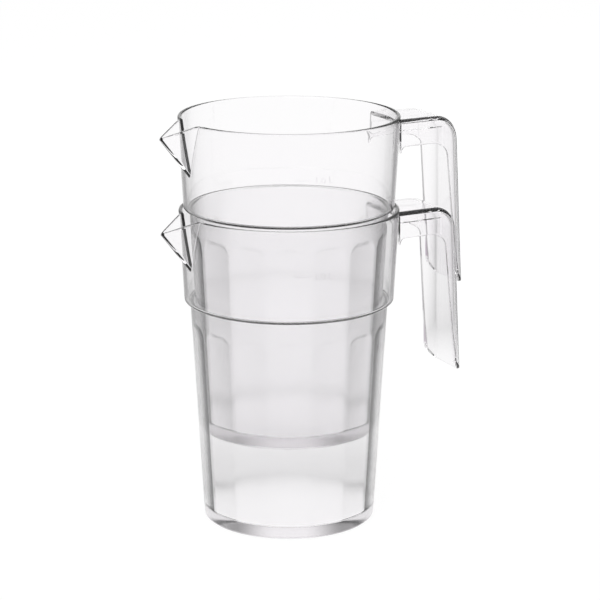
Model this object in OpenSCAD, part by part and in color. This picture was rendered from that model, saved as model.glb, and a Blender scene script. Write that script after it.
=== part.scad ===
// Two clear stacking beer pitchers, one nested in the other.
// Each pitcher is a round tapered body with a wide collar and a beak spout, and a hook handle on the collar.
// Axes: Z up along the bodies, handles towards +X, spouts towards -X, origin at the centre of the lower base.

/* [Pitcher body] */
// Height of one pitcher, from its base to its rim
pitcher_h = 167; // [150:0.1:190]
// Outer diameter at the rim
rim_d = 115.4; // [104:0.1:130]
// Height of the collar, the wide band from the shoulder up to the rim
collar_h = 48.9; // [42:0.1:56]
// How far the collar draws in from the rim to the shoulder, on the radius
collar_draft = 2.7; // [1.5:0.05:4]
// Width of the step under the collar
shoulder_step = 3; // [2.6:0.05:4]
// Radius of the collar's lower outer corner
shoulder_round = 2.2; // [1:0.1:2.5]
// Wall of the collar
collar_wall = 2; // [1.6:0.1:2.4]
// Wall of the tapered body at the strips between its panels
body_wall = 1.6; // [1.2:0.1:1.8]
// Thickness of the ledge that joins the collar to the body
ledge_t = 1.6; // [1.2:0.1:2.4]
// Height of the inner floor above the base
floor_h = 5.9; // [4:0.1:8]
// Radius of the base's outer corner
base_round = 1.2; // [0.6:0.1:2]

/* [Panels] */
// Flat panels around the inside of the body
panel_count = 15; // [10:1:18]
// Turn of the panels about the axis, in degrees, from one that is centred on the handle
panel_turn = 5.5; // [-12:0.5:12]
// Width of the round strip left between two panels, at the top of the body
strip_w = 2.6; // [1.5:0.05:4]
// Distance from the collar's step down to the panel tops
panel_drop = 11.6; // [6:0.1:20]
// Radius of the panels' top corners
panel_round = 6; // [2:0.1:7]

/* [Spout] */
// Distance from the axis to the spout's tip
spout_reach = 72.4; // [66:0.1:80]
// How far the tip lies below the rim
spout_drop = 7.4; // [4:0.1:10]
// How far below the rim the keel runs into the collar
keel_drop = 28.7; // [22:0.1:34]
// Width of the spout's mouth at the rim
mouth_w = 26.9; // [20:0.1:34]
// Wall of the spout
spout_wall = 1.8; // [1.4:0.1:2.2]
// Inner radius of the keel
keel_round = 0.7; // [0.4:0.1:1.5]

/* [Handle] */
// How far the top of the handle lies below the rim
handle_drop = 4.8; // [3:0.05:8]
// Depth of the arm, from its top to the lower edge of its sides
arm_h = 13.1; // [10:0.1:16]
// Distance from the axis to the grip's outer face, level with the arm's lower edge
grip_reach = 93.3; // [88:0.1:102]
// Length of the handle from its top to the grip's open end
grip_len = 92.2; // [84:0.1:104]
// Width of the handle at its top
handle_w = 27.9; // [24:0.1:32]
// Depth of the grip's sides at the arm
grip_depth = 8.6; // [7:0.1:12]
// Depth of the grip's sides at the open end
grip_end_depth = 4.4; // [3:0.1:6]
// Wall of the grip where a nested handle lies inside it
grip_wall = 1.5; // [1.2:0.1:1.8]
// Wall of the arm's top
arm_wall = 2.2; // [1.8:0.1:2.8]
// Radius of the handle's outer bend
bend_round = 14.5; // [10:0.5:20]
// Radius of the bend inside the finger gap
finger_round = 9; // [6:0.5:14]
// Radius of the grip's long outer corners
grip_round = 5.8; // [4:0.1:8]
// Radius of the arm's long top edges
arm_round = 2.5; // [1:0.1:3]
// Radius of the lower corners of the grip's two sides, seen from the side
end_round = 6; // [3:0.1:7]
// Radius of the lower corners of the grip, seen from its outer end
tip_round = 9; // [5:0.5:12]
// Radius where the arm's sides meet the collar
root_round = 3.4; // [2:0.1:5]
// How much further each side of the arm stands out at the collar than at the grip
root_flare = 3.1; // [1:0.1:4]
// Thickness added inside the arm's sides
arm_pad_t = 0.7; // [0.4:0.1:1]
// Distance from the axis to the end of the thicker sides
arm_pad_reach = 82.7; // [78:0.1:84]
// How far below the rim the thicker sides begin
arm_pad_drop = 10.5; // [9:0.1:13]

/* [Stack] */
// Height between the lower rim and the upper shoulder
seat_gap = 0.3; // [0.3:0.1:2]
// Clearance between the nested bodies, and between the nested handles
nest_gap = 0.3; // [0.3:0.05:0.6]

/* [Hidden] */
$fn = 96;
clear_plastic = [0.9, 0.89, 0.92, 0.45];
overrun = 3;
arc_steps = 6;

// Heights and radii of the body
stack_pitch = collar_h + seat_gap;
rim_r = rim_d / 2;
shoulder_z = pitcher_h - collar_h;
collar_low_r = rim_r - collar_draft;
body_top_r = collar_low_r - shoulder_step;
body_top_in = body_top_r - body_wall;
ledge_z = shoulder_z + ledge_t;
ledge_round = shoulder_step / 3;

// The panels are chords of the inner wall, and the body tapers just enough for the next one to nest in them
panel_pitch = 360 / panel_count;
panel_half = panel_pitch / 2 - asin(strip_w / 2 / body_top_in);
panel_depth = body_top_in * (1 - cos(panel_half));
body_lean = atan((body_wall + panel_depth + nest_gap) / stack_pitch);
base_r = body_top_r - shoulder_z * tan(body_lean);
panel_top_z = shoulder_z - panel_drop;

// Keel, lip and side angles of the spout
tip_z = pitcher_h - spout_drop;
apex_z = pitcher_h - keel_drop;
apex_r = collar_r(apex_z);
keel_angle = atan2(tip_z - apex_z, spout_reach - apex_r);
keel_len = norm([spout_reach - apex_r, tip_z - apex_z]);
mouth_x = sqrt(rim_r ^ 2 - (mouth_w / 2) ^ 2);
lip_angle = atan2(spout_drop, spout_reach - mouth_x);
mouth_rise = (spout_reach - mouth_x) * sin(keel_angle) + spout_drop * cos(keel_angle);
keel_outer = keel_round + spout_wall;
spout_half = side_angle(side_angle(side_angle(atan2(mouth_w / 2, mouth_rise))));

// Heights of the handle, and the lean that lets one grip nest in the next
handle_z = pitcher_h - handle_drop;
arm_low_z = handle_z - arm_h;
grip_end_z = handle_z - grip_len;
grip_lean = (grip_wall + nest_gap) / stack_pitch;
flare_slope = root_flare / (grip_reach - rim_r);
bend_z = handle_z - bend_round;

function collar_r(z) = collar_low_r + collar_draft * (z - shoulder_z) / collar_h;
function body_r(z) = base_r + z * tan(body_lean);
// Half angle between the spout's sides, from a first value of it, so that the sides reach the mouth's corners
function side_angle(half) = atan2(mouth_w / 2, mouth_rise + keel_outer * (1 / sin(half) - 1));
function arc(centre, radius, from, to) =
    [for (i = [0:arc_steps]) let (t = from + (to - from) * i / arc_steps) centre + radius * [cos(t), sin(t)]];

// Handle outline at a height: how far out it reaches, and how far each side stands from the middle
function lean_x(z) = grip_reach + grip_lean * (arm_low_z - z);
function side_y(x, z) = handle_w / 2 + grip_lean * (handle_z - z) + flare_slope * (grip_reach - x);
function drop_round(z, top, radius) =
    z > top - radius ? radius - sqrt(max(0, radius ^ 2 - (z - top + radius) ^ 2)) : 0;
function round_levels(top, radius) =
    [for (i = [0:arc_steps]) top - radius * (1 - sin(90 * i / arc_steps))];
function grip_inner_x(z) =
    lean_x(z) - grip_end_depth - (grip_depth - grip_end_depth) * (z - grip_end_z) / (arm_low_z - grip_end_z);

// Cross-section of the body's wall, from the base round the rim to the inner floor
module wall_section() {
    rim_mid = rim_r - collar_wall / 2;
    collar_low_in = collar_r(ledge_z + ledge_round) - collar_wall;
    polygon(concat(
        [[0, 0]],
        arc([body_r(base_round) - base_round, base_round], base_round, -90, 0),
        [[body_top_r, shoulder_z]],
        arc([collar_r(shoulder_z + shoulder_round) - shoulder_round, shoulder_z + shoulder_round],
            shoulder_round, -90, 0),
        arc([rim_mid, pitcher_h - collar_wall / 2], collar_wall / 2, 0, 180),
        arc([collar_low_in - ledge_round, ledge_z + ledge_round], ledge_round, 0, -90),
        arc([body_top_in + ledge_round, ledge_z - ledge_round], ledge_round, 90, 180),
        [[body_r(floor_h) - body_wall, floor_h], [0, floor_h]]));
}

// Inside of the tapered body, taken half way into its wall
module inner_cone() {
    low = floor_h - floor_h / 4;
    rotate_extrude()
        polygon([[0, low], [body_r(low) - body_wall / 2, low],
                 [body_r(shoulder_z) - body_wall / 2, shoulder_z], [0, shoulder_z]]);
}

// One flat panel with rounded top corners, leaning with the wall
module panel_block() {
    flat_r = (base_r - body_wall) * cos(panel_half);
    chord_w = body_top_in * sin(panel_half);
    block_lean = atan(tan(body_lean) * cos(panel_half));
    top = panel_top_z / cos(block_lean);
    translate([flat_r, 0, 0])
        rotate([0, block_lean, 0])
            rotate([90, 0, 90])
                linear_extrude(panel_depth + body_wall)
                    polygon(concat(
                        [[-chord_w, 0], [chord_w, 0]],
                        arc([chord_w - panel_round, top - panel_round], panel_round, 0, 90),
                        arc([panel_round - chord_w, top - panel_round], panel_round, 90, 180)));
}

module panels() {
    intersection() {
        inner_cone();
        for (i = [0:panel_count - 1])
            rotate([0, 0, panel_turn + i * panel_pitch])
                panel_block();
    }
}

// V-shaped prism along the spout's keel, set in from the outer faces by inset
module keel_prism(inset, extra) {
    radius = keel_outer - inset;
    centre = [0, keel_outer];
    side = [sin(spout_half), cos(spout_half)];
    start = centre + radius * [cos(spout_half), -sin(spout_half)];
    reach = mouth_rise + extra;
    end = start + reach * side;
    translate([spout_reach, 0, tip_z])
        rotate([0, -keel_angle, 0])
            rotate([90, 0, 90])
                translate([0, 0, -keel_len - extra])
                    linear_extrude(keel_len + 2 * extra)
                        polygon(concat(
                            [[-end[0], end[1]]],
                            arc(centre, radius, 180 + spout_half, 360 - spout_half),
                            [end]));
}

// Everything above the sloping lip of the spout and above the rim
module lip_cut() {
    size = 2 * spout_reach;
    translate([mouth_x, 0, pitcher_h])
        rotate([0, lip_angle, 0])
            translate([-size / 2, -size / 2, 0])
                cube(size);
    translate([0, -size / 2, pitcher_h])
        cube(size);
}

// Space inside the collar, open upwards
module collar_space() {
    low = apex_z - keel_drop / 2;
    high = pitcher_h + overrun;
    rotate_extrude()
        polygon([[0, low], [collar_r(low) - collar_wall, low],
                 [collar_r(high) - collar_wall, high], [0, high]]);
}

module spout() {
    difference() {
        keel_prism(0, overrun);
        keel_prism(spout_wall, 2 * overrun);
        lip_cut();
        collar_space();
    }
}

module pitcher_body() {
    difference() {
        rotate_extrude() wall_section();
        rotate([0, 0, 180]) keel_prism(spout_wall, 2 * overrun);
    }
    panels();
    rotate([0, 0, 180]) spout();
}

// Plan outline of the handle at one height, set in from its sides by inset, out to x_out
module plan(z, x_out, inset, corner) {
    thin = overrun / 100;
    corner_x = x_out - corner;
    corner_y = side_y(corner_x, z) - inset - corner;
    root_y = side_y(body_top_in, z) - inset;
    translate([0, 0, z - thin])
        linear_extrude(thin)
            polygon(concat(
                [[body_top_in, -root_y]],
                arc([corner_x, -corner_y], corner, -90, 0),
                arc([corner_x, corner_y], corner, 0, 90),
                [[body_top_in, root_y]]));
}

// Outer form of the handle, as a loft of plan outlines
module handle_outer() {
    levels = concat([grip_end_z - overrun], round_levels(handle_z, bend_round), round_levels(handle_z, arm_round));
    hull()
        for (z = levels) {
            edge = drop_round(z, handle_z, arm_round);
            plan(z, lean_x(min(z, bend_z)) - drop_round(z, handle_z, bend_round), edge, grip_round - edge);
        }
}

// Hollow of the handle, open downwards, inside walls of the given thickness
module handle_hollow(wall) {
    top = handle_z - arm_wall;
    levels = concat([grip_end_z - 2 * overrun], round_levels(top, bend_round - arm_wall));
    hull()
        for (z = levels)
            plan(z, lean_x(min(z, bend_z)) - grip_wall - drop_round(z, top, bend_round - arm_wall),
                 wall, grip_round - wall);
}

// Thicker lower part of the arm's two sides
module arm_pads() {
    low = arm_low_z - root_round - overrun;
    wide = 2 * handle_w;
    difference() {
        translate([0, -wide / 2, low])
            cube([arm_pad_reach, wide, pitcher_h - arm_pad_drop - low]);
        handle_hollow(grip_wall + arm_pad_t);
    }
}

// Cone that the outside of the collar lies on, which the handle's root fits
module collar_form() {
    high = pitcher_h + overrun;
    rotate_extrude()
        polygon([[0, 0], [collar_r(0), 0], [collar_r(high), high], [0, high]]);
}

// Side view of the handle: arm, finger bend, leaning grip and rounded open end
module side_view() {
    root_x = collar_r(arm_low_z);
    finger_z = arm_low_z - finger_round;
    far = 2 * grip_reach;
    polygon(concat(
        [[body_top_in, handle_z + overrun], [far, handle_z + overrun], [far, grip_end_z]],
        arc([grip_inner_x(grip_end_z) + end_round, grip_end_z + end_round], end_round, 270, 180),
        arc([grip_inner_x(finger_z) - finger_round, finger_z], finger_round, 0, 90),
        arc([root_x + root_round, arm_low_z - root_round], root_round, 90, 180),
        [[body_top_in, arm_low_z - root_round]]));
}

// End view of the handle, which rounds the corners of the grip's open end
module end_view() {
    half = side_y(grip_inner_x(grip_end_z), grip_end_z);
    polygon(concat(
        [[half, handle_z + overrun]],
        arc([half - tip_round, grip_end_z + tip_round], tip_round, 0, -90),
        arc([tip_round - half, grip_end_z + tip_round], tip_round, -90, -180),
        [[-half, handle_z + overrun]]));
}

module pitcher_handle() {
    wide = 3 * handle_w;
    intersection() {
        difference() {
            handle_outer();
            difference() {
                handle_hollow(grip_wall);
                arm_pads();
            }
            collar_form();
        }
        translate([0, wide / 2, 0])
            rotate([90, 0, 0])
                linear_extrude(wide)
                    side_view();
        rotate([90, 0, 90])
            linear_extrude(2 * grip_reach)
                end_view();
    }
}

module lower_body() {
    color(clear_plastic) pitcher_body();
}

module lower_handle() {
    color(clear_plastic) pitcher_handle();
}

module upper_body() {
    color(clear_plastic) translate([0, 0, stack_pitch]) pitcher_body();
}

module upper_handle() {
    color(clear_plastic) translate([0, 0, stack_pitch]) pitcher_handle();
}

lower_body();
lower_handle();
upper_body();
upper_handle();
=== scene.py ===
"""Looks of two clear stacking beer pitchers, one nested in the other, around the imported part.

All lengths in the classes are millimetres in the part's own frame: Z up along the bodies, the handles
towards +X, the spouts towards -X, and the origin at the centre of the lower base.
"""

from __future__ import annotations

import logging
import math
from dataclasses import dataclass
from enum import Enum
from typing import Callable, Union

import bpy
import numpy as np
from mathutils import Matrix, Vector

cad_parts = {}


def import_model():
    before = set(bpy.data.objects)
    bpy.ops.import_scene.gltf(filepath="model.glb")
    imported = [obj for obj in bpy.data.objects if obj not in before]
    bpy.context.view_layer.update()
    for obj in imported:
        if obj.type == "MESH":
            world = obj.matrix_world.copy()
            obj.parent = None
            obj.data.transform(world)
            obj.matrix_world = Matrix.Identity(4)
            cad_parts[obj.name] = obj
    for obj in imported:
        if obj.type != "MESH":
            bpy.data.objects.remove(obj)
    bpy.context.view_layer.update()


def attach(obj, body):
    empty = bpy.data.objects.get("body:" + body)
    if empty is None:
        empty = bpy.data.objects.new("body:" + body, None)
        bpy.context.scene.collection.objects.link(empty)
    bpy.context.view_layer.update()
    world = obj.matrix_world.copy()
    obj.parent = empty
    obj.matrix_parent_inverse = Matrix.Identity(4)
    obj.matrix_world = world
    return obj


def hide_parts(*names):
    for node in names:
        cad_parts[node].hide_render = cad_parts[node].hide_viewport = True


LOG = logging.getLogger("pitchers")
MM = 0.001
WELD_M = 2e-6
SLIVER_M = 1e-6
CLOSE = 1e-9
HALVINGS = 40
WHITE = (1.0, 1.0, 1.0, 1.0)
FLATTEN = (1.0, 1.0, 0.0)
Point2 = tuple[float, float]
Point3 = tuple[float, float, float]
Colour = tuple[float, float, float, float]
Tree = bpy.types.NodeTree
Socket = bpy.types.NodeSocket
Input = Union[Socket, float, Point3]


class Level(Enum):
    """The two pitchers of the stack, with the body that each rides on."""

    LOWER = "lower_pitcher"
    UPPER = "upper_pitcher"

    @property
    def prefix(self) -> str:
        """First word of the names of this pitcher's pieces."""
        return self.value.split("_")[0]


class Course(Enum):
    """How a fade goes from its first value to its last."""

    STRAIGHT = "LINEAR"
    SOFT = "SMOOTHSTEP"


def arc(centre: Point2, radius: float, start: float, end: float, steps: int) -> list[Point2]:
    """Points of an arc in the plane of radius and height.

    Args:
        centre: Centre of the arc.
        radius: Radius of the arc.
        start: First angle, in degrees.
        end: Last angle, in degrees.
        steps: Number of chords.

    Returns:
        The points, both ends included.
    """
    angles = [math.radians(start + (end - start) * i / steps) for i in range(steps + 1)]
    return [(centre[0] + radius * math.cos(a), centre[1] + radius * math.sin(a)) for a in angles]


def spaced(start: float, end: float, steps: int) -> list[float]:
    """Evenly spaced numbers from start to end, both included."""
    return [start + (end - start) * (i / steps) for i in range(steps + 1)]


def line(start: Point2, end: Point2, steps: int) -> list[Point2]:
    """Evenly spaced points from start to end, both included."""
    return list(zip(spaced(start[0], end[0], steps), spaced(start[1], end[1], steps)))


def smooth_step(value: float, low: float, high: float) -> float:
    """Share from 0 to 1 of a value between two limits, with soft ends."""
    share = min(1.0, max(0.0, (value - low) / (high - low)))
    return share * share * (3.0 - 2.0 * share)


def root_of(function: Callable[[float], float], low: float, high: float) -> float:
    """Finds where a rising function is zero, by halving.

    Args:
        function: The rising function.
        low: Lower limit of the search.
        high: Upper limit of the search.

    Returns:
        The place of the zero.
    """
    for _ in range(HALVINGS):
        middle = (low + high) / 2
        if function(middle) < 0:
            low = middle
        else:
            high = middle
    return (low + high) / 2


def wrapped_grid(name: str, points: np.ndarray, crease: float) -> bpy.types.Object:
    """Wraps a grid primitive round a closed form, welds its seams and smooths it.

    Args:
        name: Name of the piece.
        points: Table of places in millimetres, rows by columns by 3.
        crease: Angle in degrees above which an edge stays sharp.

    Returns:
        The piece, at the origin, with its place in its mesh.
    """
    rows, columns = points.shape[:2]
    bpy.ops.object.select_all(action="DESELECT")
    bpy.ops.mesh.primitive_grid_add(x_subdivisions=columns - 1, y_subdivisions=rows - 1, size=1)
    piece = bpy.context.object
    piece.name = name
    piece.data.name = name
    flat = np.empty(len(piece.data.vertices) * 3, np.float32)
    piece.data.vertices.foreach_get("co", flat)
    flat = flat.reshape(-1, 3)
    column = np.rint((flat[:, 0] + 0.5) * (columns - 1)).astype(int)
    row = np.rint((flat[:, 1] + 0.5) * (rows - 1)).astype(int)
    placed = (points[row, column] * MM).astype(np.float32)
    piece.data.vertices.foreach_set("co", placed.ravel())
    piece.data.update()
    bpy.ops.object.mode_set(mode="EDIT")
    bpy.ops.mesh.select_all(action="SELECT")
    bpy.ops.mesh.remove_doubles(threshold=WELD_M)
    bpy.ops.mesh.dissolve_degenerate(threshold=SLIVER_M)
    bpy.ops.mesh.select_all(action="SELECT")
    bpy.ops.mesh.normals_make_consistent(inside=False)
    bpy.ops.object.mode_set(mode="OBJECT")
    bpy.ops.object.shade_smooth_by_angle(angle=math.radians(crease))
    return piece


def operation_node(tree: Tree, kind: str, operation: str, result: str, inputs: tuple[Input, ...]) -> Socket:
    """Adds a node that works something out.

    Args:
        tree: Node tree that it goes in.
        kind: Type of the node.
        operation: What it works out.
        result: Name of the output that holds the result.
        inputs: Outputs or plain values for its inputs, in order.

    Returns:
        The output with the result.
    """
    node = tree.nodes.new(kind)
    node.operation = operation
    for socket, value in zip(node.inputs, inputs):
        if isinstance(value, Socket):
            tree.links.new(value, socket)
        else:
            socket.default_value = value
    return node.outputs[result]


def math_node(tree: Tree, operation: str, *inputs: Input) -> Socket:
    """Adds a math node and gives its result."""
    return operation_node(tree, "ShaderNodeMath", operation, "Value", inputs)


def vector_node(tree: Tree, operation: str, result: str, *inputs: Input) -> Socket:
    """Adds a vector math node and gives its result, a vector or a value."""
    return operation_node(tree, "ShaderNodeVectorMath", operation, result, inputs)


def fade_node(
    tree: Tree, value: Socket, limits: Point2, ends: Point2, course: Course = Course.SOFT
) -> Socket:
    """Adds a node that goes from one value to another between two limits.

    Args:
        tree: Node tree that it goes in.
        value: Output that is measured against the limits.
        limits: Where the fade starts and ends.
        ends: The values at its start and end.
        course: How it goes from one to the other.

    Returns:
        The output with the result.
    """
    fade = tree.nodes.new("ShaderNodeMapRange")
    fade.interpolation_type = course.value
    tree.links.new(value, fade.inputs["Value"])
    for label, number in zip(("From Min", "From Max", "To Min", "To Max"), limits + ends):
        fade.inputs[label].default_value = number
    return fade.outputs["Result"]


def height_of(tree: Tree, place: Socket) -> Socket:
    """Adds a node that takes the height from a place or a direction."""
    split = tree.nodes.new("ShaderNodeSeparateXYZ")
    tree.links.new(place, split.inputs[0])
    return split.outputs["Z"]


@dataclass(frozen=True)
class BodySteps:
    """Number of mesh rows or columns on each stretch of a body."""

    base: int = 12
    wall: int = 12
    fillet: int = 8
    shoulder: int = 14
    collar: int = 16
    beak: int = 14
    rim: int = 16
    ledge: int = 10
    strip: int = 6
    bevel: int = 8
    panel: int = 10
    foot: int = 10
    flat_columns: int = 16
    strip_columns: int = 4
    keel_columns: int = 10
    side_columns: int = 14


@dataclass
class PitcherBody:
    """Round tapered body with a wide collar, a beak spout and flat panels inside."""

    height: float = 167.0
    rim_r: float = 57.7
    collar_h: float = 48.9
    collar_draft: float = 2.7
    shoulder_step: float = 3.0
    shoulder_round: float = 1.4
    shoulder_fillet: float = 0.5
    collar_wall: float = 2.0
    body_wall: float = 1.6
    ledge_t: float = 0.9
    ledge_round: float = 1.0
    floor_h: float = 5.9
    floor_round: float = 1.6
    base_round: float = 1.2
    stack_pitch: float = 49.2
    nest_gap: float = 0.3
    panel_count: int = 15
    panel_turn: float = 5.5
    strip_w: float = 2.6
    panel_drop: float = 11.6
    panel_round: float = 6.0
    panel_bevel: float = 1.6
    panel_share: float = 0.6
    spout_reach: float = 72.4
    spout_drop: float = 7.4
    keel_drop: float = 28.7
    mouth_w: float = 26.9
    mouth_limit: float = 0.6
    spout_wall: float = 1.8
    keel_round: float = 2.5
    keel_column: float = 0.2
    side_column: float = 0.8
    column_gap: float = 0.001
    crease: float = 16.0
    steps: BodySteps = BodySteps()

    def __post_init__(self) -> None:
        """Works out the radii and angles that follow from the sizes."""
        self.shoulder_z = self.height - self.collar_h
        self.collar_low_r = self.rim_r - self.collar_draft
        self.top_r = self.collar_low_r - self.shoulder_step
        self.top_in = self.top_r - self.body_wall
        self.ledge_z = self.shoulder_z + self.ledge_t
        self.rim_round = self.collar_wall / 2
        self.rim_z = self.height - self.rim_round
        self.pitch = 2 * math.pi / self.panel_count
        self.panel_half = self.pitch / 2 - math.asin(self.strip_w / 2 / self.top_in)
        depth = self.top_in * (1 - math.cos(self.panel_half))
        self.lean = (self.body_wall + depth + self.nest_gap) / self.stack_pitch
        self.base_r = self.top_r - self.shoulder_z * self.lean
        self.panel_top = self.shoulder_z - self.panel_drop
        self.tip_z = self.height - self.spout_drop
        self.apex_z = self.height - self.keel_drop
        self.keel = math.atan2(self.tip_z - self.apex_z, self.spout_reach - self.collar_r(self.apex_z))
        self.mouth_x = math.sqrt(self.rim_r**2 - (self.mouth_w / 2) ** 2)
        self.lip_slope = self.spout_drop / (self.spout_reach - self.mouth_x)
        self.spout_half = self._spout_half()
        self.mouth_out = self._mouth_edge(0.0, 0.0)
        self.mouth_in = self._mouth_edge(self.spout_wall, self.collar_wall)

    def _spout_half(self) -> float:
        """Works out half the angle between the spout's sides, across the keel.

        Returns:
            The angle in radians, at which the sides meet the mouth's width at the rim.
        """
        passes = 3
        rise = (self.spout_reach - self.mouth_x) * math.sin(self.keel)
        rise += self.spout_drop * math.cos(self.keel)
        half = math.atan2(self.mouth_w / 2, rise)
        for _ in range(passes):
            half = math.atan2(self.mouth_w / 2, rise + self.keel_round * (1 / math.sin(half) - 1))
        return half

    def collar_r(self, z: float) -> float:
        """Outer radius of the collar at a height."""
        return self.collar_low_r + self.collar_draft * (z - self.shoulder_z) / self.collar_h

    def body_r(self, z: float) -> float:
        """Outer radius of the tapered body at a height."""
        return self.base_r + z * self.lean

    def beak_r(self, angle: float, z: float, inset: float) -> float:
        """Distance from the axis to the spout's wall.

        Args:
            angle: Angle from the spout's middle, in radians.
            z: Height.
            inset: Distance of the face inside the outer one.

        Returns:
            The radius of the flat side, or of the rounded keel near the middle.
        """
        turn = abs(angle)
        sin_k, cos_k = math.sin(self.keel), math.cos(self.keel)
        sin_h, cos_h = math.sin(self.spout_half), math.cos(self.spout_half)
        sharp = self.keel_round * (1 - 1 / sin_h)
        lift = sin_k * self.spout_reach + cos_k * (z - self.tip_z)
        side = (sin_h * (lift - sharp) - inset) / (math.sin(turn) * cos_h + sin_k * math.cos(turn) * sin_h)
        radius = self.keel_round - inset
        slope = -sin_k * math.cos(turn)
        offset = lift - self.keel_round
        a = math.sin(turn) ** 2 + slope**2
        b = 2 * slope * offset
        c = offset**2 - radius**2
        inside = b * b - 4 * a * c
        if inside < 0:
            return side
        keel_r = (-b + math.sqrt(inside)) / (2 * a)
        across = keel_r * math.sin(turn)
        below = -(slope * keel_r + offset)
        return keel_r if below > 0 and across <= below * cos_h / sin_h else side

    def _mouth_edge(self, inset: float, wall: float) -> float:
        """Angle from the spout's middle at which its wall meets the collar at the rim."""
        rim_in = self.collar_r(self.rim_z) - wall
        return root_of(lambda a: rim_in - self.beak_r(a, self.rim_z, inset), 0.0, self.mouth_limit)

    def _crease_z(self, angle: float, inset: float, wall: float) -> float:
        """Height at which the spout's wall leaves the collar's wall."""
        return root_of(
            lambda z: self.beak_r(angle, z, inset) - self.collar_r(z) + wall,
            self.apex_z - self.shoulder_round,
            self.rim_z,
        )

    def lip_z(self, x: float) -> float:
        """Height of the top of the wall at a distance along the spout."""
        return self.height - self.lip_slope * max(0.0, x - self.mouth_x)

    def _lip_top(self, angle: float, inset: float) -> float:
        """Height at which the spout's face ends below the rounded lip."""
        return root_of(
            lambda z: z + self.rim_round - self.lip_z(self.beak_r(angle, z, inset) * math.cos(angle)),
            self.apex_z,
            self.rim_z,
        )

    def columns(self) -> list[float]:
        """Angles of the mesh's columns: panel edges, evenly between them, and finely at the spout.

        Returns:
            The angles in radians, rising through one whole turn.
        """
        steps = self.steps
        gap = self.pitch - 2 * self.panel_half
        angles: list[float] = []
        for k in range(self.panel_count):
            middle = math.radians(self.panel_turn) + k * self.pitch
            low, high = middle - self.panel_half, middle + self.panel_half
            angles += [low + (high - low) * i / steps.flat_columns for i in range(steps.flat_columns)]
            angles += [high + gap * i / steps.strip_columns for i in range(steps.strip_columns)]
        keel_end = self.keel_column * steps.keel_columns
        spout = [0.0, self.mouth_in, self.mouth_out]
        spout += [math.radians(self.keel_column * i) for i in range(1, steps.keel_columns + 1)]
        spout += [math.radians(keel_end + self.side_column * i) for i in range(1, steps.side_columns + 1)]
        for a in spout:
            if a <= self.mouth_out + CLOSE:
                angles += [math.pi - a, math.pi + a]
        angles.sort()
        kept = [angles[0]]
        for a in angles[1:]:
            if a - kept[-1] > self.column_gap or abs(abs(a - math.pi) - self.mouth_out) < CLOSE:
                kept.append(a)
        return kept + [kept[0] + 2 * math.pi]

    def _from_panel(self, angle: float) -> float:
        """Angle from the middle of the nearest panel."""
        turned = angle - math.radians(self.panel_turn)
        return (turned + self.pitch / 2) % self.pitch - self.pitch / 2

    def _wall_in(self, angle: float, z: float, flat_share: float) -> float:
        """Inner radius of the tapered body.

        Args:
            angle: Angle about the axis, in radians.
            z: Height.
            flat_share: How far the wall has gone from round to flat, from 0 to 1.

        Returns:
            The radius.
        """
        round_r = self.body_r(z) - self.body_wall
        turn = self._from_panel(angle)
        if abs(turn) >= self.panel_half:
            return round_r
        flat_r = round_r * math.cos(self.panel_half) / math.cos(turn)
        return round_r + (flat_r - round_r) * flat_share

    def _panel_edge_z(self, angle: float) -> float:
        """Height of a panel's top edge, with its rounded corners.

        Args:
            angle: Angle about the axis, in radians.

        Returns:
            The height.
        """
        turn = min(abs(self._from_panel(angle)), self.panel_half)
        across = (self.body_r(self.panel_top) - self.body_wall) * math.sin(turn)
        corner = max(0.0, across - (self.top_in * math.sin(self.panel_half) - self.panel_round))
        drop = self.panel_round - math.sqrt(max(0.0, self.panel_round**2 - corner**2))
        return self.panel_top - drop

    def _outside(self, angle: float) -> list[Point2]:
        """Profile from the middle of the base up the outer wall to the rim.

        Args:
            angle: Angle about the axis, in radians.

        Returns:
            Radius and height of each point.
        """
        base, fillet, corner = self.base_round, self.shoulder_fillet, self.shoulder_round
        steps = self.steps
        rows: list[Point2] = [(0.0, 0.0), (self.base_r / 2, 0.0)]
        rows += arc((self.body_r(base) - base, base), base, -90, 0, steps.base)
        low_z = self.shoulder_z - fillet
        rows += line((self.body_r(base), base), (self.body_r(low_z), low_z), steps.wall)[1:-1]
        rows += arc((self.body_r(low_z) + fillet, low_z), fillet, 180, 90, steps.fillet)
        corner_z = self.shoulder_z + corner
        rows += arc((self.collar_r(corner_z) - corner, corner_z), corner, -90, 0, steps.shoulder)
        turn = angle - math.pi
        in_mouth = abs(turn) < self.mouth_out - CLOSE
        crease_z = self._crease_z(turn, 0.0, 0.0) if in_mouth else self.rim_z
        top_z = self._lip_top(turn, 0.0) if in_mouth else self.rim_z
        rows += [(self.collar_r(z), z) for z in spaced(corner_z, crease_z, steps.collar)[1:]]
        for z in spaced(crease_z, top_z, steps.beak)[1:]:
            rows.append((self.beak_r(turn, z, 0.0) if in_mouth else self.collar_r(z), z))
        return rows

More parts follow.
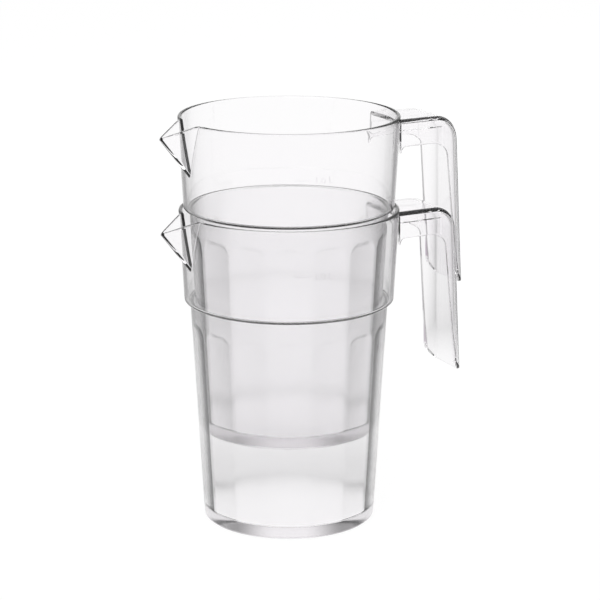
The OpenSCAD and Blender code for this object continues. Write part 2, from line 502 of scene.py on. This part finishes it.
    def _inside(self, angle: float) -> list[Point2]:
        """Profile from the rim down the inner wall to the middle of the floor.

        Args:
            angle: Angle about the axis, in radians.

        Returns:
            Radius and height of each point.
        """
        wall, ledge, bevel = self.collar_wall, self.ledge_round, self.panel_bevel
        steps = self.steps
        turn = angle - math.pi
        in_mouth = abs(turn) < self.mouth_in - CLOSE
        crease_z = self._crease_z(turn, self.spout_wall, wall) if in_mouth else self.rim_z
        top_z = self._lip_top(turn, self.spout_wall) if in_mouth else self.rim_z
        rows: list[Point2] = []
        for z in spaced(top_z, crease_z, steps.beak):
            rows.append((self.beak_r(turn, z, self.spout_wall) if in_mouth else self.collar_r(z) - wall, z))
        low_z = self.ledge_z + ledge
        rows += [(self.collar_r(z) - wall, z) for z in spaced(crease_z, low_z, steps.collar)[1:]]
        rows += arc((self.collar_r(low_z) - wall - ledge, low_z), ledge, 0, -90, steps.ledge)
        rows += arc((self.top_in + ledge, self.ledge_z - ledge), ledge, 90, 180, steps.ledge)
        edge_z = self._panel_edge_z(angle)
        for z in spaced(self.ledge_z - 2 * ledge, edge_z + bevel, steps.strip):
            rows.append((self._wall_in(angle, z, 0.0), z))
        for i in range(1, steps.bevel + 1):
            z = edge_z + bevel * (1 - 2 * i / steps.bevel)
            flat_share = self.panel_share * smooth_step(i / steps.bevel, 0.0, 1.0)
            rows.append((self._wall_in(angle, z, flat_share), z))
        foot_z = self.floor_h + self.floor_round
        for z in spaced(edge_z - bevel, foot_z, steps.panel)[1:]:
            rows.append((self._wall_in(angle, z, self.panel_share), z))
        foot_r = self._wall_in(angle, foot_z, self.panel_share)
        rows += arc((foot_r - self.floor_round, foot_z), self.floor_round, 0, -90, steps.foot)[1:]
        rows += [(foot_r / 2, self.floor_h), (0.0, self.floor_h)]
        return rows

    def profile(self, angle: float) -> list[Point2]:
        """Whole profile of the wall, from the base over the rim to the floor.

        Args:
            angle: Angle about the axis, in radians.

        Returns:
            Radius and height of each point.
        """
        outside, inside = self._outside(angle), self._inside(angle)
        (r_out, z_out), (r_in, z_in) = outside[-1], inside[0]
        rim: list[Point2] = []
        for i in range(1, self.steps.rim):
            t = math.pi * i / self.steps.rim
            r = (r_out + r_in) / 2 + (r_out - r_in) / 2 * math.cos(t)
            z = z_out + (z_in - z_out) * (1 - math.cos(t)) / 2 + self.rim_round * math.sin(t)
            rim.append((r, z))
        return outside + rim + inside

    def build(self, name: str, lift: float) -> bpy.types.Object:
        """Models the body as one closed wall.

        Args:
            name: Name of the piece.
            lift: Height of its base above the table.

        Returns:
            The piece.
        """
        rings = []
        for angle in self.columns():
            turned = [(r * math.cos(angle), r * math.sin(angle), z + lift) for r, z in self.profile(angle)]
            rings.append(turned)
        return wrapped_grid(name, np.array(rings).transpose(1, 0, 2), self.crease)


@dataclass(frozen=True)
class HandleSteps:
    """Number of cross-sections along a handle, and of points on each stretch of one."""

    arm: int = 30
    bend: int = 40
    grip: int = 44
    web: int = 8
    corner: int = 10
    side: int = 26
    tip: int = 8


@dataclass(frozen=True)
class Station:
    """One cross-section of a handle, in the plane of distance from the axis and height.

    It holds a point of the outer contour, the direction inwards from there, the free edge of the sides,
    the radius of the long corners and the thickness of the outer wall.
    """

    out: Point2
    inward: Point2
    edge: Point2
    corner: float
    wall: float


@dataclass
class HookHandle:
    """Open hook handle: a C-channel that leaves the collar, bends down and ends free."""

    body: PitcherBody
    drop: float = 4.8
    arm_h: float = 13.1
    reach: float = 93.3
    length: float = 92.2
    width: float = 27.9
    depth: float = 8.6
    end_depth: float = 4.4
    grip_wall: float = 1.5
    arm_wall: float = 2.2
    bend_round: float = 14.5
    finger_round: float = 9.0
    grip_round: float = 5.8
    arm_round: float = 2.5
    end_round: float = 6.0
    tip_round: float = 9.0
    tip_fade: float = 26.0
    root_round: float = 3.4
    root_flare: float = 3.1
    root_gap: float = 0.06
    root_sink: float = 1.0
    pad_t: float = 0.7
    pad_reach: float = 82.7
    pad_drop: float = 10.5
    pad_edge: float = 0.5
    side_bow: float = 0.4
    arm_crowding: float = 1.5
    grip_crowding: float = 1.4
    crease: float = 14.0
    steps: HandleSteps = HandleSteps()

    def __post_init__(self) -> None:
        """Works out the heights, lean and centres that follow from the sizes."""
        self.top_z = self.body.height - self.drop
        self.low_z = self.top_z - self.arm_h
        self.end_z = self.top_z - self.length
        self.lean = (self.grip_wall + self.body.nest_gap) / self.body.stack_pitch
        self.flare = self.root_flare / (self.reach - self.body.rim_r)
        self.bend_z = self.top_z - self.bend_round
        self.bend_x = self.lean_x(self.bend_z) - self.bend_round
        self.finger_z = self.low_z - self.finger_round
        self.finger_x = self.inner_x(self.finger_z) - self.finger_round
        self.pad_z = self.body.height - self.pad_drop

    def lean_x(self, z: float) -> float:
        """Distance from the axis to the grip's outer face at a height."""
        return self.reach + self.lean * (self.low_z - z)

    def inner_x(self, z: float) -> float:
        """Distance from the axis to the free edge of the grip's sides at a height."""
        share = (z - self.end_z) / (self.low_z - self.end_z)
        return self.lean_x(z) - self.end_depth - (self.depth - self.end_depth) * share

    def side_y(self, x: float, z: float) -> float:
        """Distance from the middle plane to the outer face of a side."""
        return self.width / 2 + self.lean * (self.top_z - z) + self.flare * (self.reach - x)

    def side_wall(self, x: float, z: float) -> float:
        """Thickness of a side, with the thicker lower part of the arm.

        Args:
            x: Distance from the axis.
            z: Height.

        Returns:
            The thickness.
        """
        edge = self.pad_edge
        along = 1 - smooth_step(x, self.pad_reach - edge, self.pad_reach + edge)
        down = 1 - smooth_step(z, self.pad_z - edge, self.pad_z + edge)
        return self.grip_wall + self.pad_t * along * down

    def _arm(self) -> list[Station]:
        """Cross-sections along the arm, from inside the collar's wall to the bend.

        Returns:
            The cross-sections, closer together near the collar.
        """
        rows = []
        low_r = self.body.collar_r(self.low_z)
        start_x = self.body.collar_r(self.top_z) - self.root_sink
        for i in range(self.steps.arm):
            share = (i / self.steps.arm) ** self.arm_crowding
            x = start_x + (self.bend_x - start_x) * share
            edge_x = start_x + (self.finger_x - start_x) * share
            past = min(self.root_round, max(0.0, edge_x - low_r))
            round_in = self.root_round - past
            fall = self.root_round - math.sqrt(max(0.0, self.root_round**2 - round_in**2))
            edge = (edge_x, self.low_z - fall)
            rows.append(Station((x, self.top_z), (0.0, -1.0), edge, self.arm_round, self.arm_wall))
        return rows

    def _bend(self) -> list[Station]:
        """Cross-sections round the bend, where the arm's section turns into the grip's.

        Returns:
            The cross-sections.
        """
        rows = []
        for i in range(self.steps.bend):
            share = i / self.steps.bend
            a = math.radians(90 * (1 - share))
            cos_a, sin_a = math.cos(a), math.sin(a)
            out = (self.bend_x + self.bend_round * cos_a, self.bend_z + self.bend_round * sin_a)
            edge = (self.finger_x + self.finger_round * cos_a, self.finger_z + self.finger_round * sin_a)
            soft = smooth_step(share, 0.0, 1.0)
            corner = self.arm_round + (self.grip_round - self.arm_round) * soft
            wall = self.arm_wall + (self.grip_wall - self.arm_wall) * soft
            rows.append(Station(out, (-cos_a, -sin_a), edge, corner, wall))
        return rows

    def _grip(self) -> list[Station]:
        """Cross-sections down the leaning grip to its open end.

        Returns:
            The cross-sections, closer together near the end.
        """
        rows = []
        for i in range(self.steps.grip + 1):
            share = 1 - (1 - i / self.steps.grip) ** self.grip_crowding
            z = self.bend_z + (self.end_z - self.bend_z) * share
            edge_z = self.finger_z + (self.end_z - self.finger_z) * share
            out, edge = (self.lean_x(z), z), (self.inner_x(edge_z), edge_z)
            rows.append(Station(out, (-1.0, 0.0), edge, self.grip_round, self.grip_wall))
        return rows

    def _end_lift(self, x: float, y: float) -> float:
        """How far the rounded open end of the grip lies above its lowest point.

        Args:
            x: Distance from the axis.
            y: Distance from the middle plane, to either side.

        Returns:
            The height above the lowest point.
        """
        half = self.side_y(self.inner_x(self.end_z), self.end_z)
        tip, end = self.tip_round, self.end_round
        over_y = min(tip, max(0.0, abs(y) - (half - tip)))
        over_x = min(end, max(0.0, end - (x - self.inner_x(self.end_z))))
        lift_y = tip - math.sqrt(tip**2 - over_y**2)
        lift_x = end - math.sqrt(end**2 - over_x**2)
        return max(lift_y, lift_x)

    def _half_section(self, station: Station) -> tuple[list[Vector], list[Vector]]:
        """One half of a cross-section, from the middle to the side's free edge.

        Args:
            station: The cross-section.

        Returns:
            The points of the outer face and those of the inner face.
        """
        top, inward, free = Vector(station.out), Vector(station.inward), Vector(station.edge)
        corner, wall, steps = station.corner, station.wall, self.steps
        knee = top + inward * corner
        control = knee + inward * ((free - knee).length * self.side_bow)
        low = top + inward * wall
        outer: list[Vector] = []
        inner: list[Vector] = []
        root_y = self.side_y(top.x, top.y) - corner
        for i in range(steps.web):
            y = root_y * i / steps.web
            outer.append(Vector((top.x, y, top.y)))
            inner.append(Vector((low.x, y, low.y)))
        for i in range(steps.corner):
            a = math.pi / 2 * i / steps.corner
            at = top + inward * (corner * (1 - math.cos(a)))
            y = self.side_y(at.x, at.y)
            outer.append(Vector((at.x, y - corner + corner * math.sin(a), at.y)))
            at = top + inward * (corner - (corner - wall) * math.cos(a))
            y = self.side_y(at.x, at.y)
            inner_round = corner - self.side_wall(at.x, at.y)
            inner.append(Vector((at.x, y - corner + inner_round * math.sin(a), at.y)))
        for i in range(steps.side + 1):
            s = i / steps.side
            at = knee * (1 - s) ** 2 + control * (2 * s * (1 - s)) + free * s**2
            y = self.side_y(at.x, at.y)
            outer.append(Vector((at.x, y, at.y)))
            inner.append(Vector((at.x, y - self.side_wall(at.x, at.y), at.y)))
        return outer, inner

    def _ring(self, station: Station) -> np.ndarray:
        """Closed loop of one cross-section, outer face first, then the inner face back.

        Args:
            station: The cross-section.

        Returns:
            The points, shaped to the collar and to the open end.
        """
        outer, inner = self._half_section(station)
        along = (outer[-1] - outer[-2]).normalized()
        half_wall = (outer[-1].y - inner[-1].y) / 2
        middle = (outer[-1] + inner[-1]) / 2
        tips = []
        for i in range(1, self.steps.tip):
            a = math.pi * i / self.steps.tip
            place = middle + along * (half_wall * math.sin(a))
            place.y = middle.y + half_wall * math.cos(a)
            tips.append(place)
        right = outer + tips + inner[::-1]
        left = [Vector((p.x, -p.y, p.z)) for p in right[::-1]]
        loop = np.array([tuple(p) for p in right + left[1:]])
        end_share = 1 - min(1.0, (station.out[1] - self.end_z) / self.tip_fade)
        return self._fit_ends(loop, end_share)

    def _fit_ends(self, loop: np.ndarray, end_share: float) -> np.ndarray:
        """Shapes a loop's points to the collar at the root and to the rounded open end.

        Args:
            loop: The points.
            end_share: How much of the open end's rounding they take, from 0 to 1.

        Returns:
            The shaped points.
        """
        fitted = loop.copy()
        for k, (x, y, z) in enumerate(loop):
            seat = self.body.collar_r(z) + self.root_gap
            least = math.sqrt(max(0.0, seat**2 - y**2))
            if x < least:
                fitted[k, 0] = least
            if end_share > 0:
                fitted[k, 2] = z + self._end_lift(x, y) * end_share
        return fitted

    @staticmethod
    def _middle(ring: np.ndarray) -> np.ndarray:
        """Middle line of a channel's wall, which closes its end.

        Args:
            ring: Closed loop of a cross-section.

        Returns:
            As many points, on the middle line.
        """
        half = (len(ring) + 1) // 2
        right, left = ring[:half], ring[half - 1 :]
        return np.concatenate([(right + right[::-1]) / 2, ((left + left[::-1]) / 2)[1:]])

    def build(self, name: str, lift: float) -> bpy.types.Object:
        """Models the handle as one closed channel.

        Args:
            name: Name of the piece.
            lift: Height of the pitcher's base above the table.

        Returns:
            The piece.
        """
        rings = [self._ring(station) for station in self._arm() + self._bend() + self._grip()]
        table = np.array([self._middle(rings[0])] + rings + [self._middle(rings[-1])])
        table[:, :, 2] += lift
        return wrapped_grid(name, table, self.crease)


@dataclass
class Graduation:
    """Moulded fill line with a plain figure, raised a little from the collar's outer wall."""

    body: PitcherBody
    line_z: float = 143.3
    raise_t: float = 0.18
    line_h: float = 0.45
    line_from: float = 3.0
    line_to: float = 11.0
    line_cuts: int = 7
    figure: str = "1.0 L"
    figure_h: float = 3.6
    figure_at: float = 12.6
    figure_scale: float = 1.4
    figure_steps: int = 6

    def _figure(self) -> bpy.types.Object:
        """Models the figure, still flat.

        Returns:
            The figure, as a mesh.
        """
        bpy.ops.object.select_all(action="DESELECT")
        bpy.ops.object.text_add()
        text = bpy.context.object
        text.data.body = self.figure
        text.data.size = self.figure_h * MM * self.figure_scale
        text.data.extrude = self.raise_t * MM / 2
        text.data.resolution_u = self.figure_steps
        bpy.ops.object.convert(target="MESH")
        text.location = (self.figure_at * MM, -self.figure_h * MM / 2, 0)
        bpy.ops.object.transform_apply(location=True, rotation=False, scale=False)
        return text

    def _bar(self) -> bpy.types.Object:
        """Models the line, still flat, with cuts along it so that it can follow the wall.

        Returns:
            The line.
        """
        bpy.ops.object.select_all(action="DESELECT")
        bpy.ops.mesh.primitive_cube_add(size=1)
        bar = bpy.context.object
        bar.scale = ((self.line_to - self.line_from) * MM, self.line_h * MM, self.raise_t * MM)
        bar.location = ((self.line_from + self.line_to) / 2 * MM, 0, 0)
        bpy.ops.object.transform_apply(location=True, rotation=False, scale=True)
        bpy.ops.object.mode_set(mode="EDIT")
        bpy.ops.mesh.select_all(action="SELECT")
        bpy.ops.mesh.subdivide(number_cuts=self.line_cuts)
        bpy.ops.object.mode_set(mode="OBJECT")
        return bar

    def _wrap(self, piece: bpy.types.Object, lift: float, facing: float) -> None:
        """Lays a flat piece on the collar's outer wall.

        Args:
            piece: The flat piece.
            lift: Height of the pitcher's base above the table.
            facing: Angle of the wall that faces the viewer, in radians.
        """
        for vertex in piece.data.vertices:
            along, up, out = (c / MM for c in vertex.co)
            z = self.line_z + up
            r = self.body.collar_r(z) + out
            angle = facing + along / self.body.collar_r(self.line_z)
            vertex.co = (r * math.cos(angle) * MM, r * math.sin(angle) * MM, (z + lift) * MM)
        piece.data.update()

    def build(self, name: str, lift: float, facing: float) -> bpy.types.Object:
        """Models the line and the figure as one raised piece that follows the wall.

        Args:
            name: Name of the piece.
            lift: Height of the pitcher's base above the table.
            facing: Angle of the wall that faces the viewer, in radians.

        Returns:
            The piece.
        """
        text = self._figure()
        bar = self._bar()
        text.select_set(True)
        bpy.context.view_layer.objects.active = bar
        bpy.ops.object.join()
        bar.name = name
        bar.data.name = name
        self._wrap(bar, lift, facing)
        return bar


@dataclass(frozen=True)
class ClearPlastic:
    """Clear moulded plastic: polished outside, with a fine matt texture on the inner wall of the body."""

    name: str
    body: PitcherBody
    lift: float
    tint: Colour = (0.997, 0.992, 0.998, 1.0)
    ior: float = 1.45
    clear: float = 1.0
    polish: float = 0.0
    matt_low: float = 0.24
    matt_high: float = 0.265
    skin_share: float = 0.6
    floor_matt: float = 0.3
    floor_rise: float = 3.0
    flow_scale: float = 34.0
    grain_scale: float = 520.0
    bump: float = 0.02
    bump_depth: float = 1.0
    absorb: Colour = (0.72, 0.66, 0.72, 1.0)
    density: float = 4.0

    @staticmethod
    def surface_group() -> Tree:
        """Node group that puts out the height of soft flow marks and the roughness of a grained wall.

        Returns:
            The group, built once for all finishes.
        """
        known = bpy.data.node_groups.get("moulded_surface")
        if known:
            return known
        group = bpy.data.node_groups.new("moulded_surface", "ShaderNodeTree")
        for label in ("Flow Scale", "Grain Scale", "Matt Low", "Matt High", "Polish", "Matt Share"):
            group.interface.new_socket(label, in_out="INPUT", socket_type="NodeSocketFloat")
        for label in ("Roughness", "Height"):
            group.interface.new_socket(label, in_out="OUTPUT", socket_type="NodeSocketFloat")
        flow_detail, grain_detail = 1.0, 3.0
        grain_low, grain_high = 0.35, 0.65
        nodes = group.nodes
        entry = nodes.new("NodeGroupInput").outputs
        leave = nodes.new("NodeGroupOutput").inputs
        place = nodes.new("ShaderNodeTexCoord").outputs["Object"]
        flow = nodes.new("ShaderNodeTexNoise")
        flow.inputs["Detail"].default_value = flow_detail
        grain = nodes.new("ShaderNodeTexNoise")
        grain.inputs["Detail"].default_value = grain_detail
        spread = nodes.new("ShaderNodeMapRange")
        spread.inputs["From Min"].default_value = grain_low
        spread.inputs["From Max"].default_value = grain_high
        blend = nodes.new("ShaderNodeMix")
        for source, target in (
            (place, flow.inputs["Vector"]),
            (place, grain.inputs["Vector"]),
            (entry["Flow Scale"], flow.inputs["Scale"]),
            (entry["Grain Scale"], grain.inputs["Scale"]),
            (grain.outputs["Fac"], spread.inputs["Value"]),
            (entry["Matt Low"], spread.inputs["To Min"]),
            (entry["Matt High"], spread.inputs["To Max"]),
            (entry["Matt Share"], blend.inputs["Factor"]),
            (entry["Polish"], blend.inputs["A"]),
            (spread.outputs["Result"], blend.inputs["B"]),
            (blend.outputs["Result"], leave["Roughness"]),
            (flow.outputs["Fac"], leave["Height"]),
        ):
            group.links.new(source, target)
        return group

    def _inner_wall(self, tree: Tree) -> Socket:
        """Share of the matt texture: 1 on the inner wall up to the ledge, less on the floor.

        Args:
            tree: Node tree of the material.

        Returns:
            The output with the share.
        """
        body = self.body
        skin_r = body.base_r - body.body_wall * self.skin_share - body.lean * self.lift
        ledge_top = self.lift + body.ledge_z + body.ledge_round / 4
        floor_middle = self.lift + body.floor_h / 2
        floor_top = self.lift + body.floor_h
        rise_limits = (floor_top * MM, (floor_top + self.floor_rise) * MM)
        place = tree.nodes.new("ShaderNodeTexCoord").outputs["Object"]
        height = height_of(tree, place)
        radius = vector_node(tree, "LENGTH", "Value", vector_node(tree, "MULTIPLY", "Vector", place, FLATTEN))
        wall_r = math_node(tree, "MULTIPLY_ADD", height, body.lean, skin_r * MM)
        share = math_node(tree, "LESS_THAN", radius, wall_r)
        below = math_node(tree, "LESS_THAN", height, ledge_top * MM)
        above = math_node(tree, "GREATER_THAN", height, floor_middle * MM)
        rise = fade_node(tree, height, rise_limits, (self.floor_matt, 1.0), Course.STRAIGHT)
        for part in (below, above, rise):
            share = math_node(tree, "MULTIPLY", share, part)
        return share

    def material(self) -> bpy.types.Material:
        """The finished material, made once and shared by the pieces that have this finish.

        Returns:
            The material.
        """
        known = bpy.data.materials.get(self.name)
        if known:
            return known
        made = bpy.data.materials.new(self.name)
        made.use_nodes = True
        tree = made.node_tree
        nodes, links = tree.nodes, tree.links
        shader = nodes["Principled BSDF"]
        shader.inputs["Base Color"].default_value = self.tint
        shader.inputs["IOR"].default_value = self.ior
        shader.inputs["Transmission Weight"].default_value = self.clear
        surface = nodes.new("ShaderNodeGroup")
        surface.node_tree = self.surface_group()
        for label, value in (
            ("Flow Scale", self.flow_scale),
            ("Grain Scale", self.grain_scale),
            ("Matt Low", self.matt_low),
            ("Matt High", self.matt_high),
            ("Polish", self.polish),
        ):
            surface.inputs[label].default_value = value
        links.new(self._inner_wall(tree), surface.inputs["Matt Share"])
        bump = nodes.new("ShaderNodeBump")
        bump.inputs["Strength"].default_value = self.bump
        bump.inputs["Distance"].default_value = self.bump_depth * MM
        links.new(surface.outputs["Roughness"], shader.inputs["Roughness"])
        links.new(surface.outputs["Height"], bump.inputs["Height"])
        links.new(bump.outputs["Normal"], shader.inputs["Normal"])
        absorption = nodes.new("ShaderNodeVolumeAbsorption")
        absorption.inputs["Color"].default_value = self.absorb
        absorption.inputs["Density"].default_value = self.density
        links.new(absorption.outputs["Volume"], nodes["Material Output"].inputs["Volume"])
        return made

    def dress(self, piece: bpy.types.Object) -> None:
        """Gives a piece this finish and nothing else."""
        piece.data.materials.clear()
        piece.data.materials.append(self.material())


@dataclass(frozen=True)
class SoftPlastic(ClearPlastic):
    """Finish of the handles: clear plastic with paler edges than the body's."""

    tint: Colour = (0.996, 0.989, 0.997, 1.0)
    ior: float = 1.28
    clear: float = 0.98


@dataclass
class Pitcher:
    """One pitcher of the stack: body, handle and graduation."""

    level: Level
    lift: float
    facing: float
    body: PitcherBody

    def build(self) -> list[bpy.types.Object]:
        """Models and dresses the pitcher's pieces and sets them on their body.

        Returns:
            The pieces.
        """
        prefix = self.level.prefix
        shell = self.body.build(prefix + "_body_shell", self.lift)
        handle = HookHandle(self.body).build(prefix + "_hook_handle", self.lift)
        mark = Graduation(self.body).build(prefix + "_fill_mark", self.lift, self.facing)
        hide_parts(prefix + "_body")
        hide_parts(prefix + "_handle")
        pieces = [shell, handle, mark]
        clear = ClearPlastic(prefix + "_clear_plastic", self.body, self.lift)
        soft = SoftPlastic(prefix + "_soft_plastic", self.body, self.lift)
        for piece in pieces:
            finish = soft if piece is handle else clear
            finish.dress(piece)
            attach(piece, self.level.value)
        return pieces


@dataclass(frozen=True)
class SoftBox:
    """Square soft lamp above the table, turned to the pitchers."""

    name: str
    place: Point3
    power: float
    size: float = 1400.0
    aim: Point3 = (0.0, 0.0, 100.0)

    def hang(self) -> None:
        """Adds the lamp to the scene."""
        data = bpy.data.lights.new(self.name, "AREA")
        data.energy = self.power
        data.size = self.size * MM
        lamp = bpy.data.objects.new(self.name, data)
        lamp.location = Vector(self.place) * MM
        aim = Vector(self.aim) - Vector(self.place)
        lamp.rotation_euler = aim.to_track_quat("-Z", "Y").to_euler()
        bpy.context.scene.collection.objects.link(lamp)


@dataclass
class Studio:
    """White table and backdrop, soft lamps and the camera. Seen through the plastic, the table shows a
    painted pool of light under the pitchers, a painted contact shadow round them and painted darker flanks.

    The camera's angles are degrees. The flanks' limits flank_at and flank_end are radians from the view's
    axis, and the ceiling's limits are the upward part of a direction.
    """

    azimuth: float = 24.8
    camera_run: float = 1158.1
    camera_h: float = 421.5
    pitch: float = 14.73
    lens: float = 136.3
    sensor: float = 36.0
    shift_x: float = 0.0183
    far_clip: float = 50000.0
    floor_size: float = 8000.0
    floor_gap: float = 0.2
    floor_lit_share: float = 0.12
    floor_glow: float = 1.07
    # Painted pool of light and painted contact shadow on the table, seen only through the plastic: distances
    # in mm from a middle moved towards the camera, and the least glow of the painted shadow.
    painted_pool_shift: float = 30.0
    painted_pool_at: Point2 = (30.0, 100.0)
    painted_shade_end: Point2 = (110.0, 220.0)
    shade: float = 0.8
    flank_at: Point2 = (0.1, 0.5)
    flank_end: Point2 = (0.55, 0.8)
    flank_glow: float = 0.36
    wide_glow: float = 0.64
    # Painted darker flanks on the table start this far from the painted pool.
    painted_flank_from: Point2 = (300.0, 620.0)
    ceiling_at: Point2 = (0.35, 0.7)
    ceiling_glow: float = 0.5
    boxes: tuple[SoftBox, ...] = (
        SoftBox("key_box", (-900.0, -700.0, 1500.0), 9.0),
        SoftBox("fill_box", (1100.0, 500.0, 1400.0), 5.0),
    )

    def __post_init__(self) -> None:
        """Works out the level direction in which the camera looks."""
        self.turn = math.radians(self.azimuth)
        self.ahead = (math.sin(self.turn), math.cos(self.turn), 0.0)

    def camera(self) -> None:
        """Sets the camera at the photograph's place and angle."""
        data = bpy.data.cameras.new("camera")
        data.lens = self.lens
        data.sensor_width = self.sensor
        data.shift_x = self.shift_x
        data.clip_end = self.far_clip * MM
        camera = bpy.data.objects.new("camera", data)
        run = self.camera_run * MM
        camera.location = (-run * self.ahead[0], -run * self.ahead[1], self.camera_h * MM)
        camera.rotation_euler = (math.radians(90 - self.pitch), 0, -self.turn)
        bpy.context.scene.collection.objects.link(camera)
        bpy.context.scene.camera = camera

    @staticmethod
    def _dip(tree: Tree, value: Socket, down: Point2, up: Point2, least: float, end: float) -> Socket:
        """Falls softly from 1 to a least value and rises to an end value again.

        Args:
            tree: Node tree that the nodes go in.
            value: Output that is measured against the limits.
            down: Where the fall starts and ends.
            up: Where the rise starts and ends.
            least: Value between the fall and the rise.
            end: Value after the rise.

        Returns:
            The output with the result.
        """
        fall = fade_node(tree, value, down, (1.0, least))
        rise = fade_node(tree, value, up, (least, end))
        return math_node(tree, "MAXIMUM", fall, rise)

    def _flank(self, tree: Tree, place: Socket) -> Socket:
        """Share of light by level direction: dark flags beside the backdrop, half light beyond them; on the
        table this is painted shade.

        Args:
            tree: Node tree that the nodes go in.
            place: Output with the place or direction.

        Returns:
            The output with the share.
        """
        level = vector_node(tree, "MULTIPLY", "Vector", place, FLATTEN)
        unit = vector_node(tree, "NORMALIZE", "Vector", level)
        bearing = math_node(tree, "ARCCOSINE", vector_node(tree, "DOT_PRODUCT", "Value", unit, self.ahead))
        return self._dip(tree, bearing, self.flank_at, self.flank_end, self.flank_glow, self.wide_glow)

    def _table_glow_with_painted_shade(self, tree: Tree) -> Socket:
        """Strength of the table's glow: even to the camera; seen through the plastic, a painted pool of light
        under the pitchers, a painted contact shadow round them and painted darker flanks.

        Args:
            tree: Node tree of the table's material.

        Returns:
            The output with the strength.
        """
        painted_pool_at, painted_shade_end, painted_flank_from = (
            (low * MM, high * MM) for low, high in (self.painted_pool_at, self.painted_shade_end, self.painted_flank_from)
        )
        # Painted pool of light under the pitchers and painted contact shadow round them.
        middle = tuple(-self.painted_pool_shift * MM * part for part in self.ahead)
        place = tree.nodes.new("ShaderNodeTexCoord").outputs["Object"]
        reach = vector_node(tree, "DISTANCE", "Value", place, middle)
        shade = self._dip(tree, reach, painted_pool_at, painted_shade_end, self.shade, 1.0)
        # Painted darker flanks on the table beyond the painted pool.
        near = fade_node(tree, reach, painted_flank_from, (1.0, 0.0))
        wide = math_node(tree, "MAXIMUM", self._flank(tree, place), near)
        painted_glow = math_node(tree, "MULTIPLY", wide, shade)
        path = tree.nodes.new("ShaderNodeLightPath")
        seen = math_node(tree, "MAXIMUM", path.outputs["Is Camera Ray"], painted_glow)
        return math_node(tree, "MULTIPLY", seen, self.floor_glow)

    def floor(self) -> None:
        """Lays the white table, which takes a little real shadow from the lamps and, seen through the
        plastic, painted light and painted shade.
        """
        bpy.ops.object.select_all(action="DESELECT")
        bpy.ops.mesh.primitive_plane_add(size=self.floor_size * MM, location=(0, 0, -self.floor_gap * MM))
        floor = bpy.context.object
        floor.name = "table"
        made = bpy.data.materials.new("white_table_painted_shade")
        made.use_nodes = True
        tree = made.node_tree
        nodes, links = tree.nodes, tree.links
        shader = nodes["Principled BSDF"]
        shader.inputs["Base Color"].default_value = WHITE
        shader.inputs["Roughness"].default_value = 1.0
        shader.inputs["Specular IOR Level"].default_value = 0.0
        glow = nodes.new("ShaderNodeEmission")
        links.new(self._table_glow_with_painted_shade(tree), glow.inputs["Strength"])
        mix = nodes.new("ShaderNodeMixShader")
        mix.inputs["Fac"].default_value = 1 - self.floor_lit_share
        links.new(shader.outputs["BSDF"], mix.inputs[1])
        links.new(glow.outputs["Emission"], mix.inputs[2])
        links.new(mix.outputs["Shader"], nodes["Material Output"].inputs["Surface"])
        floor.data.materials.append(made)

    def world(self) -> None:
        """Lights the scene from a white backdrop with darker flanks and a darker ceiling."""
        world = bpy.data.worlds.new("studio")
        bpy.context.scene.world = world
        world.use_nodes = True
        tree = world.node_tree
        aim = tree.nodes.new("ShaderNodeTexCoord").outputs["Generated"]
        ceiling = fade_node(tree, height_of(tree, aim), self.ceiling_at, (1.0, self.ceiling_glow))
        dim = math_node(tree, "MULTIPLY", self._flank(tree, aim), ceiling)
        path = tree.nodes.new("ShaderNodeLightPath")
        seen = math_node(tree, "MAXIMUM", path.outputs["Is Camera Ray"], dim)
        back = tree.nodes["Background"]
        back.inputs["Color"].default_value = WHITE
        tree.links.new(seen, back.inputs["Strength"])

    def build(self) -> None:
        """Sets up the whole studio."""
        bpy.context.scene.view_settings.view_transform = "Standard"
        self.camera()
        self.floor()
        self.world()
        for box in self.boxes:
            box.hang()


def main() -> None:
    """Builds the studio and both pitchers, and notes the size of the result."""
    logging.basicConfig(level=logging.INFO, format="%(name)s: %(message)s")
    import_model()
    studio = Studio()
    studio.build()
    facing = math.radians(-90 - studio.azimuth)
    body = PitcherBody()
    for level, lift in ((Level.LOWER, 0.0), (Level.UPPER, body.stack_pitch)):
        for piece in Pitcher(level, lift, facing, body).build():
            LOG.info("%s: %d faces", piece.name, len(piece.data.polygons))


if __name__ == "__main__":
    main()
